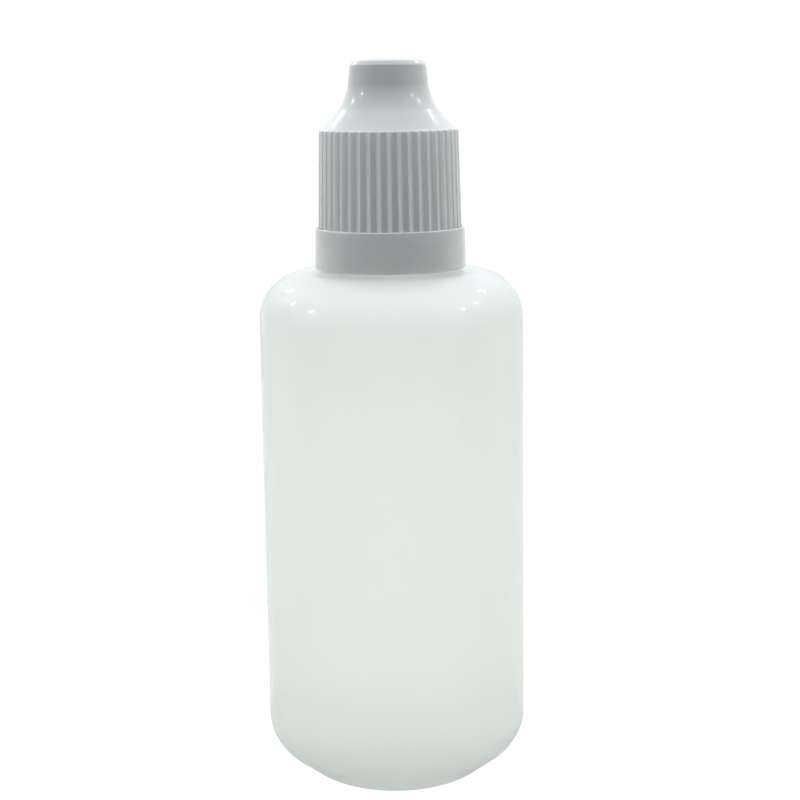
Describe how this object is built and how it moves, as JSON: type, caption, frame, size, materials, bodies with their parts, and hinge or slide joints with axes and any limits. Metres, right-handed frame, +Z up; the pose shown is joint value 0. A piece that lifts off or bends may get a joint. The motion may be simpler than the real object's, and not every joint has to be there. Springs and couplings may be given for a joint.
{
  "type": "dropper bottle",
  "caption": "Translucent squeeze bottle with a press-in dropper tip, a press-and-turn ribbed cap and a tamper ring.",
  "frame": {"origin": "on the bottle's axis, at the level it stands on", "axes": "+Z up along the bottle's axis, towards the cap"},
  "size_m": [0.038, 0.038, 0.1051],
  "materials": {
    "bottle": "natural translucent polyethylene, smooth, semi-gloss",
    "dropper_tip": "natural translucent polyethylene",
    "inner_cap": "white polypropylene",
    "outer_cap": "glossy white polypropylene",
    "tamper_ring": "glossy white polypropylene"
  },
  "bodies": {
    "bottle": {"bottle": "bottle", "dropper_tip": "dropper_tip"},
    "ring": {"tamper_ring": "tamper_ring"},
    "inner_cap": {"inner_cap": "inner_cap"},
    "spring": {"inner_cap_spring_fingers": "inner_cap"},
    "outer_cap": {"outer_cap": "outer_cap"}
  },
  "joints": [
    {"name": "cap_turn", "type": "hinge", "parent": "bottle", "child": "ring", "pos_m": [0, 0, 0.0784], "axis": [0, 0, 1], "range_deg": [0, 630]},
    {"name": "cap_rise", "type": "slide", "parent": "ring", "child": "inner_cap", "axis": [0, 0, 1], "range_m": [0, 0.00438]},
    {"name": "press_down", "type": "slide", "parent": "inner_cap", "child": "spring", "axis": [0, 0, -1], "range_m": [0, 0.0011], "stiffness_N_per_m": 8000, "springref_m": -0.0004, "deforming": ["inner_cap_spring_fingers"]},
    {"name": "freewheel", "type": "hinge", "parent": "spring", "child": "outer_cap", "pos_m": [0, 0, 0.09], "axis": [0, 0, 1], "continuous": true}
  ],
  "couplings": [
    {"joint": "cap_rise", "follows": "cap_turn", "m_per_rad": 0.00039789}
  ]
}
